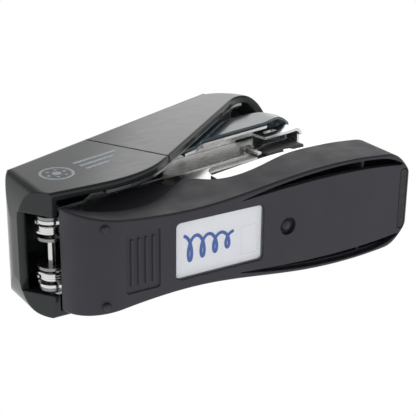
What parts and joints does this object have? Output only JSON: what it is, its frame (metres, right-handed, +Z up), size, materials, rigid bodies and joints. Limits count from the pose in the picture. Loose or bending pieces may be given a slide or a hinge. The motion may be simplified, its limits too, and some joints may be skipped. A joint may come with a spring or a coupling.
{
  "type": "desktop stapler",
  "caption": "Desktop stapler with a tall nesting handle, a nose cover, a front-loading magazine drawer, a turning anvil and a waisted plastic base.",
  "frame": {"origin": "on the table under the middle of the stapler as it stands on its base", "axes": "+X towards the stapling mouth, +Y to the stapler's left, +Z up from the table"},
  "size_m": [0.1301, 0.04, 0.0829],
  "materials": {
    "base_plastic": "satin black moulding with a faint orange-peel gloss",
    "handle_plastic": "glossy black moulding",
    "cover_plastic": "glossy blue-black moulding",
    "drawer_plastic": "matte black moulding",
    "foot_rubber": "matte black rubber",
    "bright_steel": "bright nickel-plated pressed sheet",
    "lever_steel": "dark plated sheet",
    "spring_steel": "bright drawn wire and strip",
    "staple_wire": "galvanised wire, glued in a strip",
    "label_card": "plain white card with a blank panel",
    "clear_window": "clear polished plastic"
  },
  "bodies": {
    "base": {"base_shell": "base_plastic", "base_plate": "bright_steel", "front_foot": "foot_rubber", "belly_plug": "base_plastic", "rear_pegs": "base_plastic", "label_card": "label_card", "label_window": "clear_window", "hinge_pin": "bright_steel", "pin_washers": "bright_steel", "pin_clips": "bright_steel", "anvil_stud": "bright_steel", "torsion_springs": "spring_steel", "lift_spring": "spring_steel"},
    "anvil": {"anvil": "bright_steel"},
    "head": {"magazine_channel": "bright_steel", "hinge_yoke": "bright_steel", "frame_rivets": "bright_steel", "inner_cover": "cover_plastic", "head_frame": "bright_steel", "front_plate": "bright_steel", "catch_pin": "spring_steel"},
    "drawer": {"magazine_drawer": "drawer_plastic", "core_rail": "bright_steel", "guide_rod": "spring_steel", "staple_strip": "staple_wire", "pusher_spring": "spring_steel"},
    "pusher": {"pusher": "drawer_plastic"},
    "catch": {"drawer_catch": "bright_steel"},
    "driver": {"driver_blade": "spring_steel", "driver_carrier": "drawer_plastic"},
    "handle": {"handle_front_shell": "handle_plastic", "handle_rear_shell": "handle_plastic", "lever_channel": "lever_steel", "pivot_brackets": "lever_steel", "press_tongue": "lever_steel"}
  },
  "joints": [
    {"name": "head_hinge", "type": "hinge", "parent": "base", "child": "head", "pos_m": [-0.0563, 0, 0.021], "axis": [0, 1, 0], "range_deg": [0, 10.5], "stiffness_Nm_per_rad": 0.8, "springref_deg": -20.05, "deforming": ["lift_spring", "torsion_springs"]},
    {"name": "handle_hinge", "type": "hinge", "parent": "head", "child": "handle", "pos_m": [-0.0563, 0, 0.021], "axis": [0, 1, 0], "range_deg": [0, 5.5], "stiffness_Nm_per_rad": 1.5, "springref_deg": -11.46, "deforming": ["torsion_springs"]},
    {"name": "driver_slide", "type": "slide", "parent": "head", "child": "driver", "axis": [-0.1822, 0, 0.9833], "range_m": [-0.0097, 0]},
    {"name": "anvil_turn", "type": "hinge", "parent": "base", "child": "anvil", "pos_m": [0.0485, 0, 0.022], "axis": [0, 0, 1], "range_deg": [0, 180]},
    {"name": "drawer_slide", "type": "slide", "parent": "head", "child": "drawer", "axis": [-0.9833, 0, -0.1822], "range_m": [-0.05, 0]},
    {"name": "pusher_slide", "type": "slide", "parent": "drawer", "child": "pusher", "axis": [0.9833, 0, 0.1822], "range_m": [-0.018, 0], "stiffness_N_per_m": 60, "springref_m": 0.03, "deforming": ["pusher_spring"]},
    {"name": "catch_hinge", "type": "hinge", "parent": "head", "child": "catch", "pos_m": [0.03002, -0.0092, 0.04636], "axis": [-0.9833, 0, -0.1822], "range_deg": [0, 12], "stiffness_Nm_per_rad": 0.01, "springref_deg": -11.46}
  ],
  "couplings": [
    {"joint": "driver_slide", "follows": "handle_hinge", "m_per_rad": -0.10001}
  ]
}
